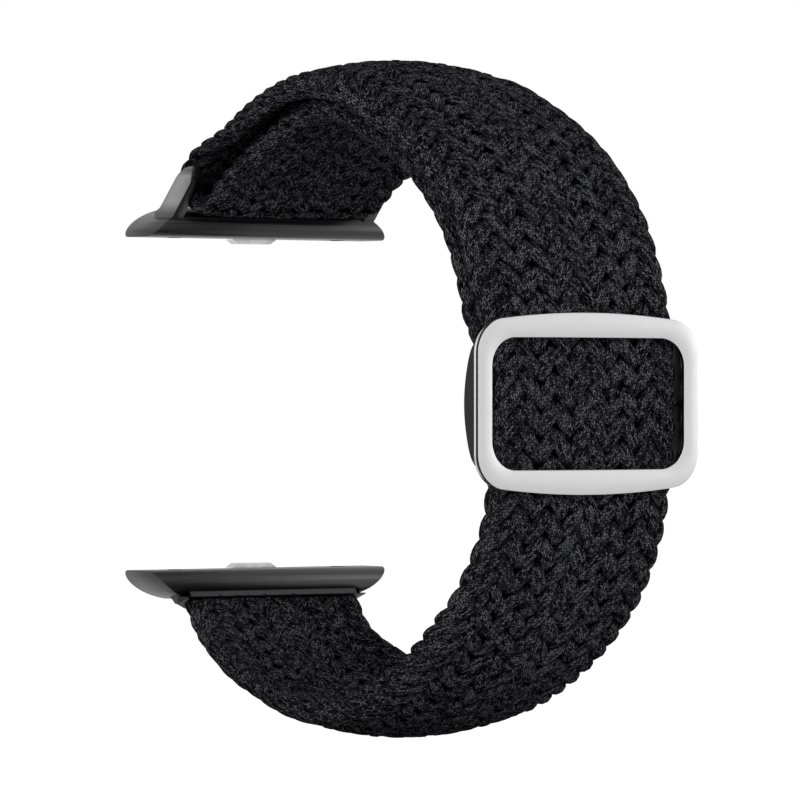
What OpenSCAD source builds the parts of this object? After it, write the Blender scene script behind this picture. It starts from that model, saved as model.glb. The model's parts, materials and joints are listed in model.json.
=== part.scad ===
// Braided stretch strap: a closed loop of flat braid between two slide-in lugs,
// with a framed slider on the side away from them. Millimetres, +Z up.
// The origin is the centre of the lower rail. -Y points to the slider.

/* [Lug fit] */
// Distance between the centre lines of the two rails
lug_pitch = 41.8; // [38:0.1:46]
// Width of a rail across its section, front to back
rail_w = 7.3; // [6.8:0.1:8]
// Thickness of a rail, slot face to outer face
rail_t = 3.4; // [3.2:0.1:3.8]
// Width across the outline that the rail ends follow
end_span = 36.6; // [35:0.1:40]
// Corner radius of the outline that the rail ends follow
end_corner_r = 8.8; // [7.5:0.1:10]
// How far that outline stands outside the rail's outer face
end_cover = 0.2; // [0.1:0.05:0.5]

/* [Braid] */
// Width of the braid at the lugs
band_w = 24.4; // [22:0.1:25]
// Width of the braid at the slider and round the shoulders
wide_w = 26.4; // [24.4:0.1:27]
// How far the braid arches across its width at the top and the bottom
arch_h = 1.5; // [0:0.1:2]
// Thickness of the braid in the middle
band_t = 2.3; // [2:0.05:2.5]
// Thickness of the braid at its edges
band_edge_t = 1.6; // [1.2:0.05:1.9]
// Width of the return run where it enters the ferrule
return_w = 23; // [21:0.1:24]
// Thickness of the braid's fused ends
fused_t = 1.5; // [1.2:0.05:1.6]

/* [Loop] */
// Distance from the rails to the outer face of the braid at the slider
loop_reach = 62.75; // [58:0.05:68]
// Radius of the loop's outer face at the slider
near_r = 42.6; // [40:0.1:46]
// Half angle of the arc behind the slider
near_half = 31; // [28:1:36]
// Radius of the loop's outer face at its upper shoulder
upper_r = 34; // [32:0.1:36]
// Radius of the loop's outer face at its lower shoulder
lower_r = 32.5; // [31:0.1:34]
// Angle where the shoulders end, from the slider
side_end = 80; // [76:1:84]
// Radius of the bend where the return run joins the outer run
join_r = 18; // [16:0.5:24]
// Slope of the return run where it leaves the cross bar
return_slope = 32.5; // [28:0.5:36]
// Gap between the two runs where they lie together
layer_gap = 0.3; // [0.2:0.05:0.5]

/* [Upper lug] */
// How far the cross bar lies in front of the rail's centre line
bar_reach = 5.8; // [5.2:0.1:6.4]
// How far the cross bar lies beyond the rail's centre line
bar_rise = 4.5; // [4:0.1:5]
// Radius of the cross bar
bar_r = 1; // [0.8:0.05:1.2]
// Running clearance of the braid on the cross bar
bar_clear = 0.05; // [0.02:0.01:0.1]
// Thickness of an arm, side to side
arm_t = 1.5; // [1.2:0.1:1.8]
// Width of an arm across its length
arm_w = 2.6; // [2.4:0.1:3]
// How far an arm's rounded end is centred beyond the cross bar
arm_tip = 0.7; // [0.4:0.1:0.9]
// Side clearance between the braid and an arm
arm_clear = 0.55; // [0.4:0.05:0.8]
// Radius of the elbow between an arm's side and its end
elbow_r = 1.4; // [0.8:0.1:1.45]

/* [Lower lug] */
// How far the socket's mouth lies in front of the rail's centre line
socket_reach = 3.3; // [3:0.1:3.6]
// How far the socket's mouth lies beyond the rail's centre line
socket_drop = 2.16; // [2:0.02:2.4]
// Wall of the socket round the braid
socket_wall = 0.5; // [0.4:0.05:0.6]
// Depth of the socket
socket_depth = 2.7; // [2.4:0.1:2.9]
// Sheet thickness of the clip in the socket
clip_sheet = 0.2; // [0.15:0.01:0.25]

/* [Latch] */
// How far the latch lies behind the rail's centre line
latch_back = 1.1; // [1:0.05:1.2]
// Length of the latch's nose along the rail
latch_l = 6; // [5:0.1:6.6]
// Width of the latch's nose
latch_w = 1.5; // [1.3:0.05:1.6]
// How far the nose stands out of the slot face, and its travel
latch_out = 0.6; // [0.4:0.05:0.7]
// Thickness of the latch's flange
flange_t = 0.6; // [0.5:0.05:0.7]
// Thickness of the lip that holds the flange
lip_t = 0.8; // [0.7:0.05:0.9]
// Thickness of the cover
cover_t = 0.6; // [0.5:0.05:0.7]
// Sheet thickness of the leaf spring
leaf_t = 0.15; // [0.1:0.01:0.2]
// Diameter of an anti-rattle pad
pad_d = 1.6; // [1.2:0.1:2]
// Distance of a pad from the rail's middle
pad_x = 11.5; // [10:0.1:12.5]

/* [Slider] */
// Width of the frame
frame_w = 30.1; // [29:0.1:32]
// Height of the frame at its middle
frame_h = 19.7; // [18:0.1:22]
// Corner radius of the frame
frame_r = 4.5; // [3:0.1:5.5]
// How far the frame's long sides bow outwards
frame_bow = 1.1; // [0.6:0.1:1.6]
// Thickness of the frame
frame_t = 1.6; // [1.4:0.1:2]
// How far the frame's front stands above the braid
frame_stand = 0.65; // [0.5:0.05:1]
// Width of the window
window_w = 26.1; // [25.7:0.1:27]
// Height of the window at its middle
window_h = 14.2; // [13:0.1:15]
// Corner radius of the window
window_r = 2.3; // [1.5:0.1:3]
// How far the window's long sides bow outwards
window_bow = 0.8; // [0.4:0.1:1]
// Width of the chamfer round the frame and the window
chamfer = 0.3; // [0.15:0.05:0.4]
// Clearance between the frame's back and the braid
frame_clear = 0.2; // [0.15:0.05:0.3]
// Thickness of an ear behind the frame
ear_t = 0.5; // [0.4:0.05:0.6]
// Radius of the ferrule's pins
pin_r = 0.25; // [0.2:0.01:0.3]
// Sheet thickness of the ferrule
ferrule_sheet = 0.35; // [0.3:0.05:0.4]
// Half length of the ferrule, as an angle round the loop
ferrule_half = 7; // [6:0.5:8]

/* [Hidden] */
$fn = 96;

// Clearances that go with the fits
seat_gap = 0.02;
run_gap = 0.05;
flange_gap = 0.12;
mouth_gap = 0.1;
tiny = 0.01;

// Angles round the loop are counted from the slider, up and over the top
half_turn = 180;
down_t = 270;
// Where the arching begins and is complete, and how long before the braid's
// ends the arching and the widening fade
arch_from = 12;
arch_full = 75;
arch_fade = 35;
wide_fade = 35;

// Fineness of the braid's rings, of its crowned faces and of its rounded edges
ring_step = 4;
crown_n = 6;
round_n = 4;

// Vectors in the side view are [y, z], with z from the loop's middle height
mid_z = lug_pitch / 2;
edge_r = band_edge_t / 2;
fold_in = bar_r + bar_clear;
fold_out = fold_in + band_t;
function toward(t) = [-cos(t), sin(t)];
function angle_of(v) = atan2(v[1], -v[0]);

// Arcs of the outer face: near, shoulder, then top and bottom arcs that are
// fitted so that they meet the cross bar and the socket
near_c = [near_r - loop_reach, 0];
upper_c = near_c + (near_r - upper_r) * toward(near_half);
lower_c = near_c + (near_r - lower_r) * toward(near_half);
bar_c = [-bar_reach, mid_z + bar_rise];
join_d = toward(side_end);
top_q = bar_c - upper_c - upper_r * join_d;
top_r = (fold_out * fold_out - top_q * top_q) / (2 * (top_q * join_d + fold_out));
top_c = upper_c + (upper_r - top_r) * join_d;
bar_t = angle_of(bar_c - top_c);
mouth_c = [-socket_reach, mid_z + socket_drop];
foot_q = mouth_c - lower_c - (lower_r - band_t / 2) * join_d;
foot_r = band_t / 2 - (foot_q * foot_q) / (2 * foot_q * join_d);
foot_c = lower_c + (lower_r - foot_r) * join_d;
mouth_t = angle_of(mouth_c - foot_c);

// Return run: straight off the cross bar, a bend, then under the outer run
return_step = band_t + layer_gap;
leave_t = down_t + return_slope;
bend_end = leave_t - half_turn;
leave_d = [-cos(return_slope), sin(return_slope)];
leave_n = toward(leave_t);
bend_off = join_r + fold_in;
bend_q = bar_c + bend_off * leave_n - top_c;
bend_b = bend_q * leave_d;
bend_s = (top_r - return_step - join_r) * (top_r - return_step - join_r);
straight_l = sqrt(bend_b * bend_b - bend_q * bend_q + bend_s) - bend_b;
bend_c = bar_c + bend_off * leave_n + straight_l * leave_d;
bend_t = angle_of(bend_c - top_c);
mouth_step = atan(mouth_gap / near_r);

// Lug values in a rail's own frame: z away from the loop's middle
end_corner_x = end_span / 2 - end_corner_r;
end_corner_z = rail_t / 2 + end_cover - end_corner_r;
arm_in = band_w / 2 + arm_clear;
arm_out = arm_in + arm_t;
arm_lean = atan2(bar_rise, bar_reach - rail_w / 2 + rail_t / 2);
chamber_l = latch_l + 3;
chamber_w = latch_w + 1;
flange_l = latch_l + 2.4;
cover_l = chamber_l + 3.2;
cover_w = chamber_w + 0.5;
slot_z = -rail_t / 2;
lip_z = slot_z + lip_t;
cover_z = rail_t / 2 - cover_t;
leaf_h = cover_z - lip_z - flange_t - leaf_t - 2 * seat_gap;
leaf_l = flange_l - 1;
screw_x = chamber_l / 2 + 0.7;
screw_r = 0.3;
screw_head_r = 0.55;
screw_head_t = 0.3;
screw_l = 1.7;
pad_depth = 0.5;
pad_proud = 0.05;

// Socket values
fused_w = band_w - 1.4;
clip_t = fused_t + 2 * clip_sheet;
clip_w = fused_w + 2 * clip_sheet;
boss_t = band_t + 2 * socket_wall;
boss_w = band_w + 0.8;
boss_l = socket_depth + socket_wall;
boss_low = rail_t / 2 - 2 * end_cover - tiny;

// Slider values
frame_front = -loop_reach - frame_stand;
frame_back = frame_front + frame_t;
window_back = -loop_reach - frame_clear;
ear_in = wide_w / 2 + frame_clear;
ear_out = ear_in + ear_t;
pin_wall = 0.2;
ear_r = pin_r + pin_wall;
ear_root = 2.2;
foot_out = frame_w / 2 - chamfer;
foot_t = 0.5;
ferrule_out = near_r - return_step;
ferrule_in = ferrule_out - fused_t - 2 * ferrule_sheet - 2 * seat_gap;
ferrule_side = 0.9;
pin_ring = ferrule_out - pin_r - pin_wall;
sheet_step = atan(ferrule_sheet / ferrule_in);
pin_y = near_c[0] - pin_ring;

// Turns a side-view outline into a solid that is centred on X
module along_x(w) {
  rotate([90, 0, 90]) linear_extrude(w, center = true) children();
}

// Turns a front-view outline into a solid from Y = 0 towards the slider
module along_y(d) {
  rotate([90, 0, 0]) linear_extrude(d) children();
}

// Sweeps a section round an axis along X: its x is the radius, its y lies along X
module arc_x(c, t0, t1) {
  translate([0, c[0], c[1]])
    rotate([90, 0, -90])
      rotate([0, 0, t0])
        rotate_extrude(angle = t1 - t0)
          children();
}

module at_loop() {
  translate([0, 0, mid_z]) children();
}

module at_upper() {
  translate([0, 0, lug_pitch]) children();
}

module at_lower() {
  mirror([0, 0, 1]) children();
}

// How the braid widens and arches with the angle round the loop
function ramp(t, t0, t1) =
  let (u = max(0, min(1, (t - t0) / (t1 - t0)))) u * u * (3 - 2 * u);
function end_of(t) = t > 0 ? bar_t : mouth_t;
function width_at(t) = band_w + (wide_w - band_w) * ramp(abs(t), end_of(t), end_of(t) - wide_fade);
function arch_at(t) =
  arch_h * ramp(abs(t), arch_from, arch_full) * ramp(abs(t), end_of(t), end_of(t) - arch_fade);

// Braid section: two crowned faces and two rounded edges
function crown(x, flank) = edge_r + (band_t / 2 - edge_r) * (1 - (x / flank) * (x / flank));
function braid_side(w, s, n) = [
  for (i = [0 : n])
    let (flank = w / 2 - edge_r, x = s * flank * (2 * i / n - 1))
      [s * crown(x, flank), x]
];
function braid_end(w, s, n) = [
  for (i = [1 : n - 1])
    let (a = 180 * i / n)
      [s * edge_r * cos(a), s * (w / 2 - edge_r + edge_r * sin(a))]
];

function braid_loop(w, crown_n, round_n) = concat(
  braid_side(w, 1, crown_n),
  braid_end(w, 1, round_n),
  braid_side(w, -1, crown_n),
  braid_end(w, -1, round_n)
);

// Rings of the braid's middle line: [[y, z], angle, width, arch]
function flip(c) = [c[0], -c[1]];
function arc_rings(c, r, t0, t1) =
  let (n = ceil(abs(t1 - t0) / ring_step))
  [
    for (i = [1 : n])
      let (t = t0 + (t1 - t0) * i / n)
        [c + (r - band_t / 2) * toward(t), t, width_at(t), arch_at(t)]
  ];

// Solid swept through rings, each with the braid's section
module braid_sweep(rings) {
  n = len(braid_loop(band_w, crown_n, round_n));
  last = len(rings) - 1;
  points = [
    for (ring = rings)
      for (p = braid_loop(ring[2], crown_n, round_n))
        let (side = 2 * p[1] / wide_w, c = ring[0] + (p[0] - ring[3] * side * side) * toward(ring[1]))
          [-p[1], c[0], c[1]]
  ];
  sides = [
    for (i = [0 : last - 1])
      for (k = [0 : n - 1])
        let (a = i * n + k, b = i * n + (k + 1) % n)
          for (f = [[a, b, b + n], [a, b + n, a + n]]) f
  ];
  caps = [
    for (k = [1 : n - 2])
      for (f = [[0, k + 1, k], [last * n, last * n + k, last * n + k + 1]]) f
  ];
  polyhedron(points = points, faces = concat(sides, caps), convexity = 6);
}

run_rings = concat(
  [[flip(foot_c) + (foot_r - band_t / 2) * toward(-mouth_t), -mouth_t, band_w, 0]],
  arc_rings(flip(foot_c), foot_r, -mouth_t, -side_end),
  arc_rings(flip(lower_c), lower_r, -side_end, -near_half),
  arc_rings(near_c, near_r, -near_half, near_half),
  arc_rings(upper_c, upper_r, near_half, side_end),
  arc_rings(top_c, top_r, side_end, bar_t)
);

// The return run narrows from the shoulder to the ferrule, and flattens on its
// way to the cross bar
return_start = ferrule_half + mouth_step;
function return_width(t) = return_w + (band_w - return_w) * min(1, (t - return_start) / (side_end - return_start));
function return_rings(c, r, t0, t1) = [
  for (ring = arc_rings(c, r, t0, t1))
    [ring[0], ring[1], return_width(ring[1]), ring[3] * ramp(ring[1], bend_end, bend_t)]
];
fold_end_c = bar_c + leave_n * (fold_in + band_t / 2);
return_path = concat(
  [[near_c + (near_r - return_step - band_t / 2) * toward(return_start), return_start, return_w, 0]],
  return_rings(near_c, near_r - return_step, return_start, near_half),
  return_rings(upper_c, upper_r - return_step, near_half, side_end),
  return_rings(top_c, top_r - return_step, side_end, bend_t),
  return_rings(bend_c, join_r, bend_t, bend_end),
  [[fold_end_c, bend_end, band_w, 0]]
);

module band_run() {
  color([0.13, 0.13, 0.14]) at_loop() braid_sweep(run_rings);
}

module band_fold() {
  color([0.13, 0.13, 0.14]) at_loop()
    arc_x(bar_c, bar_t, leave_t)
      translate([fold_out - band_t / 2, 0])
        polygon(braid_loop(band_w, crown_n, round_n));
}

module band_return() {
  color([0.13, 0.13, 0.14]) at_loop() braid_sweep(return_path);
}

// Rail section, side view: flat faces and round front and back
module rail_section() {
  square([rail_w - rail_t, rail_t], center = true);
  for (s = [-1, 1])
    translate([s * (rail_w - rail_t) / 2, 0]) circle(rail_t / 2);
}

// Front-view outline that the rail ends follow
module end_outline() {
  reach = end_corner_r + rail_t;
  translate([-end_corner_x, end_corner_z - reach])
    square([2 * end_corner_x, end_corner_r + reach]);
  for (s = [-1, 1])
    translate([s * end_corner_x, end_corner_z]) circle(end_corner_r);
}

module rail() {
  intersection() {
    along_x(end_span) rail_section();
    translate([0, rail_w, 0]) along_y(2 * rail_w) end_outline();
  }
}

// A block of the latch group, placed on the latch's line
module latch_block(l, w, z0, z1) {
  translate([-l / 2, latch_back - w / 2, z0]) cube([l, w, z1 - z0]);
}

// What the latch group and the pads take out of a rail
module rail_pockets() {
  latch_block(latch_l + 2 * run_gap, latch_w + 2 * run_gap, slot_z - tiny, lip_z + tiny);
  latch_block(chamber_l, chamber_w, lip_z, cover_z + tiny);
  latch_block(cover_l + 2 * seat_gap, cover_w + 2 * seat_gap, cover_z, rail_t);
  for (s = [-1, 1]) {
    translate([s * screw_x, latch_back, rail_t / 2 - screw_l]) cylinder(r = screw_r + seat_gap, h = screw_l);
    translate([s * pad_x, 0, slot_z - tiny]) cylinder(r = pad_d / 2 + seat_gap, h = pad_depth + tiny);
  }
}

module latch() {
  nose_ramp = latch_l / 8;
  latch_block(flange_l, chamber_w - 2 * flange_gap, lip_z + seat_gap, lip_z + flange_t);
  translate([0, latch_back + latch_w / 2, 0])
    along_y(latch_w)
      polygon([
        [-latch_l / 2, lip_z + flange_t / 2],
        [-latch_l / 2, slot_z - latch_out / 4],
        [-latch_l / 2 + nose_ramp, slot_z - latch_out],
        [latch_l / 2 - nose_ramp, slot_z - latch_out],
        [latch_l / 2, slot_z - latch_out / 4],
        [latch_l / 2, lip_z + flange_t / 2]
      ]);
}

// Bowed leaf between the latch's flange and the cover
module leaf_spring() {
  leaf_w = chamber_w - 4 * flange_gap;
  bow_r = (leaf_l * leaf_l / 4 + leaf_h * leaf_h) / (2 * leaf_h);
  low_z = lip_z + flange_t + seat_gap;
  translate([0, latch_back + leaf_w / 2, 0])
    along_y(leaf_w)
      intersection() {
        translate([0, low_z + leaf_t + bow_r]) difference() {
          circle(bow_r + leaf_t);
          circle(bow_r);
        }
        translate([-leaf_l / 2, low_z]) square([leaf_l, leaf_h + leaf_t]);
      }
}

module latch_cover() {
  difference() {
    intersection() {
      latch_block(cover_l, cover_w, cover_z + seat_gap, rail_t / 2);
      rail();
    }
    for (s = [-1, 1])
      translate([s * screw_x, latch_back, 0]) {
        cylinder(r = screw_r + seat_gap, h = rail_t);
        translate([0, 0, rail_t / 2 - screw_head_t]) cylinder(r = screw_head_r + seat_gap, h = rail_t);
      }
  }
}

module cover_screws() {
  slot_w = 0.2;
  for (s = [-1, 1])
    translate([s * screw_x, latch_back, 0]) difference() {
      union() {
        translate([0, 0, rail_t / 2 - screw_l + seat_gap]) cylinder(r = screw_r, h = screw_l - screw_head_t);
        translate([0, 0, rail_t / 2 - screw_head_t + seat_gap]) cylinder(r = screw_head_r, h = screw_head_t - seat_gap);
      }
      translate([-screw_head_r, -slot_w / 2, rail_t / 2 - screw_head_t / 2])
        cube([2 * screw_head_r, slot_w, screw_head_t]);
    }
}

module end_pads() {
  for (s = [-1, 1])
    translate([s * pad_x, 0, slot_z - pad_proud])
      cylinder(r = pad_d / 2, h = pad_depth + pad_proud - seat_gap);
}

// Socket, side view in the lower rail's frame: x runs into the rail
module socket_frame() {
  translate([-socket_reach, socket_drop]) rotate(90 - mouth_t) children();
}

module boss_outline() {
  bevel = socket_wall / 2;
  intersection() {
    socket_frame()
      polygon([
        [0, -boss_t / 2 + bevel],
        [bevel, -boss_t / 2],
        [boss_l, -boss_t / 2],
        [boss_l, boss_t / 2],
        [bevel, boss_t / 2],
        [0, boss_t / 2 - bevel]
      ]);
    union() {
      translate([-rail_w, boss_low]) square([2 * rail_w, rail_w]);
      rail_section();
    }
  }
}

module lower_lug() {
  color([0.25, 0.25, 0.26]) at_lower() difference() {
    union() {
      rail();
      along_x(boss_w) boss_outline();
    }
    along_x(clip_w + 2 * seat_gap) socket_frame()
      translate([-socket_depth, -clip_t / 2 - seat_gap])
        square([2 * socket_depth, clip_t + 2 * seat_gap]);
    rail_pockets();
  }
}

module lower_fused_end() {
  color([0.08, 0.08, 0.08]) at_lower()
    along_x(fused_w) socket_frame()
      translate([0, -fused_t / 2]) square([socket_depth - clip_sheet - 2 * seat_gap, fused_t]);
}

module lower_braid_clip() {
  color([0.55, 0.55, 0.56]) at_lower() difference() {
    along_x(clip_w) socket_frame()
      translate([seat_gap, -clip_t / 2]) square([socket_depth - 2 * seat_gap, clip_t]);
    along_x(fused_w + seat_gap) socket_frame()
      translate([-tiny, -fused_t / 2 - seat_gap / 2])
        square([socket_depth - clip_sheet, fused_t + seat_gap]);
  }
}

module lower_latch() {
  color([0.5, 0.5, 0.52]) at_lower() latch();
}

module lower_latch_spring() {
  color([0.6, 0.6, 0.6]) at_lower() leaf_spring();
}

module lower_latch_cover() {
  color([0.25, 0.25, 0.26]) at_lower() latch_cover();
}

module lower_cover_screws() {
  color([0.55, 0.55, 0.56]) at_lower() cover_screws();
}

module lower_end_pads() {
  color([0.05, 0.05, 0.05]) at_lower() end_pads();
}

// Arm, side view in the upper rail's frame
module arm_outline() {
  tip = [-bar_reach, bar_rise] + arm_tip * [-cos(arm_lean), sin(arm_lean)];
  side = arm_w / 2 * [sin(arm_lean), cos(arm_lean)];
  root_y = -rail_t / 3;
  root_z = rail_t / 3;
  front_y = -rail_w / 2 + rail_t / 8;
  chin_y = -rail_w / 2 - rail_t / 12;
  chin_z = rail_t / 5;
  translate(tip) circle(arm_w / 2);
  polygon([
    tip + side,
    [root_y, rail_t / 2],
    [0, root_z],
    [0, 0],
    [front_y, 0],
    [chin_y, chin_z],
    tip - side
  ]);
}

// Front view of the loop that the arms and the cross bar make
module elbow_outline() {
  top = bar_rise + arm_tip * sin(arm_lean) + arm_w / 2;
  translate([-arm_out, -rail_t]) square([2 * arm_out, rail_t + top - elbow_r]);
  translate([-arm_out + elbow_r, -rail_t]) square([2 * (arm_out - elbow_r), rail_t + top]);
  for (s = [-1, 1])
    translate([s * (arm_out - elbow_r), top - elbow_r]) circle(elbow_r);
}

module upper_lug() {
  color([0.42, 0.42, 0.43]) at_upper() difference() {
    union() {
      rail();
      intersection() {
        difference() {
          along_x(2 * arm_out) arm_outline();
          along_x(2 * arm_in) translate([-2 * rail_w, -rail_t]) square([4 * rail_w, 4 * rail_t]);
        }
        translate([0, rail_w, 0]) along_y(4 * rail_w) elbow_outline();
      }
      translate([0, -bar_reach, bar_rise]) rotate([0, 90, 0]) cylinder(r = bar_r, h = 2 * arm_in + arm_t, center = true);
    }
    rail_pockets();
  }
}

module upper_latch() {
  color([0.5, 0.5, 0.52]) at_upper() latch();
}

module upper_latch_spring() {
  color([0.6, 0.6, 0.6]) at_upper() leaf_spring();
}

module upper_latch_cover() {
  color([0.42, 0.42, 0.43]) at_upper() latch_cover();
}

module upper_cover_screws() {
  color([0.55, 0.55, 0.56]) at_upper() cover_screws();
}

module upper_end_pads() {
  color([0.05, 0.05, 0.05]) at_upper() end_pads();
}

// Rounded rectangle whose long sides bow outwards by a stated sagitta
function bowed_quarter(w, h, r, bow, n) =
  let (
    cx = w / 2 - r,
    swing = (cx * cx + bow * bow) / (2 * bow),
    cz = h / 2 - r - bow,
    axis_z = h / 2 - r - swing,
    split = atan2(cx, cz - axis_z)
  )
  concat(
    [
      for (i = [0 : n - 1])
        let (a = split * i / n)
          [(swing + r) * sin(a), axis_z + (swing + r) * cos(a)]
    ],
    [
      for (i = [0 : n])
        let (a = split + (90 - split) * i / n)
          [cx + r * sin(a), cz + r * cos(a)]
    ]
  );
function bowed_loop(w, h, r, bow, n) =
  let (q = bowed_quarter(w, h, r, bow, n))
  concat(
    [for (i = [0 : 2 * n]) q[i]],
    [for (i = [2 * n : -1 : 1]) [q[i][0], -q[i][1]]],
    [for (i = [0 : 2 * n]) -q[i]],
    [for (i = [2 * n : -1 : 1]) [-q[i][0], q[i][1]]]
  );

// The frame's profile, carried round its outline: [depth, growth, 0 outer or 1 window]
frame_profile = [
  [frame_back, 0, 0],
  [frame_front + chamfer, 0, 0],
  [frame_front, -chamfer, 0],
  [frame_front, chamfer / 2, 1],
  [frame_front + chamfer / 2, 0, 1],
  [window_back, 0, 1]
];
function frame_loop(side, grow, n) = side == 0
  ? bowed_loop(frame_w + 2 * grow, frame_h + 2 * grow, frame_r + grow, frame_bow, n)
  : bowed_loop(window_w + 2 * grow, window_h + 2 * grow, window_r + grow, window_bow, n);

module frame_ring() {
  step_n = 10;
  n = len(frame_loop(0, 0, step_n));
  m = len(frame_profile);
  points = [
    for (p = frame_profile)
      for (v = frame_loop(p[2], p[1], step_n))
        [v[0], p[0], v[1]]
  ];
  faces = [
    for (i = [0 : m - 1])
      for (k = [0 : n - 1])
        let (a = i * n + k, b = i * n + (k + 1) % n, c = ((i + 1) % m) * n)
          for (f = [[a, b, c + k], [b, c + (k + 1) % n, c + k]]) f
  ];
  polyhedron(points = points, faces = faces, convexity = 6);
}

module ear_outline() {
  translate([pin_y, 0]) circle(ear_r);
  polygon([
    [frame_back - foot_t, ear_root],
    [frame_back, ear_root],
    [pin_y, ear_r],
    [pin_y, -ear_r],
    [frame_back, -ear_root],
    [frame_back - foot_t, -ear_root]
  ]);
}

module slider_frame() {
  foot_in = ear_in + ear_t / 4;
  color([0.78, 0.78, 0.78]) at_loop() difference() {
    union() {
      frame_ring();
      for (s = [-1, 1]) {
        translate([s * (ear_in + ear_out) / 2, 0, 0]) along_x(ear_t) ear_outline();
        translate([s * (foot_in + foot_out) / 2, (window_back + frame_back + foot_t) / 2, 0])
          cube([foot_out - foot_in, frame_back + foot_t - window_back, 2 * ear_root - foot_t], center = true);
      }
    }
    translate([0, pin_y, 0]) rotate([0, 90, 0])
      cylinder(r = pin_r + seat_gap, h = frame_w, center = true);
  }
}

module end_ferrule() {
  ferrule_h = return_w;
  color([0.3, 0.3, 0.31]) at_loop() difference() {
    arc_x(near_c, -ferrule_half, ferrule_half)
      translate([ferrule_in, -ferrule_h / 2]) square([ferrule_out - ferrule_in, ferrule_h]);
    arc_x(near_c, -ferrule_half + sheet_step, ferrule_half + sheet_step)
      translate([ferrule_in + ferrule_sheet, -ferrule_h / 2 + ferrule_side])
        square([ferrule_out - ferrule_in - 2 * ferrule_sheet, ferrule_h - 2 * ferrule_side]);
    translate([0, pin_y, 0]) rotate([0, 90, 0])
      cylinder(r = pin_r + seat_gap, h = frame_w, center = true);
  }
}

module ferrule_pins() {
  pin_in = return_w / 2 - ferrule_side + seat_gap;
  color([0.6, 0.6, 0.6]) at_loop()
    for (s = [-1, 1])
      translate([s * (pin_in + ear_out) / 2, pin_y, 0]) rotate([0, 90, 0])
        cylinder(r = pin_r, h = ear_out - pin_in, center = true);
}

module return_fused_end() {
  fused_h = return_w - 2 * ferrule_side - 2 * seat_gap;
  color([0.08, 0.08, 0.08]) at_loop()
    arc_x(near_c, -ferrule_half + 2 * sheet_step, ferrule_half)
      translate([ferrule_in + ferrule_sheet + seat_gap, -fused_h / 2])
        square([fused_t, fused_h]);
}

band_run();
band_fold();
band_return();
lower_fused_end();
lower_braid_clip();
lower_lug();
lower_latch();
lower_latch_spring();
lower_latch_cover();
lower_cover_screws();
lower_end_pads();
upper_lug();
upper_latch();
upper_latch_spring();
upper_latch_cover();
upper_cover_screws();
upper_end_pads();
slider_frame();
end_ferrule();
ferrule_pins();
return_fused_end();
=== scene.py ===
"""Braided stretch strap with a framed slider, dressed on its CAD frame."""
import json
import math

import bmesh
import bpy
from bpy.props import FloatProperty, FloatVectorProperty, IntProperty
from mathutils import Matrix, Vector


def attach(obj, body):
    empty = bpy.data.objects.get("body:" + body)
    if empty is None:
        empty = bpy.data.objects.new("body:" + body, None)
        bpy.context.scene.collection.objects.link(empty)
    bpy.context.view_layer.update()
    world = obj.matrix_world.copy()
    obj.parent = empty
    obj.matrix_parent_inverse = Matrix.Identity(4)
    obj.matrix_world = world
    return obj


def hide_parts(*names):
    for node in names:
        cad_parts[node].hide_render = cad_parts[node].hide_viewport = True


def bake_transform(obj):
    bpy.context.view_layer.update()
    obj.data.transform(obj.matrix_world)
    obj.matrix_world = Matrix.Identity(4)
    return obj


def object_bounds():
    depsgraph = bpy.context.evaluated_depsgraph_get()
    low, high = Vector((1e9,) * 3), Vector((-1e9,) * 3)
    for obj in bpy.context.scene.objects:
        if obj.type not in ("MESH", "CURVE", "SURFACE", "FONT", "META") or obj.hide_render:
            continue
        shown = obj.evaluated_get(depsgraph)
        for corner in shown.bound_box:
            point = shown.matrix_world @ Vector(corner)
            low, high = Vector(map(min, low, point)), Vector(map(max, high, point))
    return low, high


bl_info = {
    "name": "Braided Strap",
    "version": (1, 0, 0),
    "blender": (4, 5, 0),
    "location": "3D View > Sidebar > Strap",
    "description": "Builds a braided stretch strap with its lugs and slider",
    "category": "Object",
}

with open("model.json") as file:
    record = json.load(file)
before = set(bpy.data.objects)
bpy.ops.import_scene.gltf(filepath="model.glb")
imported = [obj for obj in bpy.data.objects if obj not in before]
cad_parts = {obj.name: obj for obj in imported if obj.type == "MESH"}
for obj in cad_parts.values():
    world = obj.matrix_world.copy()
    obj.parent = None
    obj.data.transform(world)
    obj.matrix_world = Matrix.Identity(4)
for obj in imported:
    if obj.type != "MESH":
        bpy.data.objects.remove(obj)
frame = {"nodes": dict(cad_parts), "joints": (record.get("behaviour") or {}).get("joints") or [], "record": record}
CAD_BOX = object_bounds()
MM = 0.001

# Largest swing of a cord to either side, as a share of half the braid's width
EDGE_REACH = 0.947
# From the cross bar's middle to the inner face of the fold
FOLD_INSIDE = 1.05 * MM
# How far the braid stands off the cross bar where it comes onto it
BAR_LIFT = 0.8 * MM
# Spacing of the points along a path
STEP_LENGTH = 0.35 * MM
# How much narrower the braid gets for each millimetre that it is pulled sideways
NARROWING = 1.95
# Where the braid leaves the lower socket, from the lower rail
MOUTH_Y, MOUTH_Z = 3.3 * MM, 2.16 * MM


# Settings


def length_setting(name, description, size):
    """Length with its default in millimetres."""
    return FloatProperty(
        name=name, description=description, default=size * MM,
        subtype="DISTANCE", unit="LENGTH", precision=5,
    )


def angle_setting(name, description, degrees):
    return FloatProperty(
        name=name, description=description, default=math.radians(degrees),
        subtype="ANGLE", unit="ROTATION",
    )


def colour_setting(name, description, colour):
    return FloatVectorProperty(
        name=name, description=description, default=colour,
        size=3, subtype="COLOR", min=0.0, max=1.0,
    )


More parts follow.
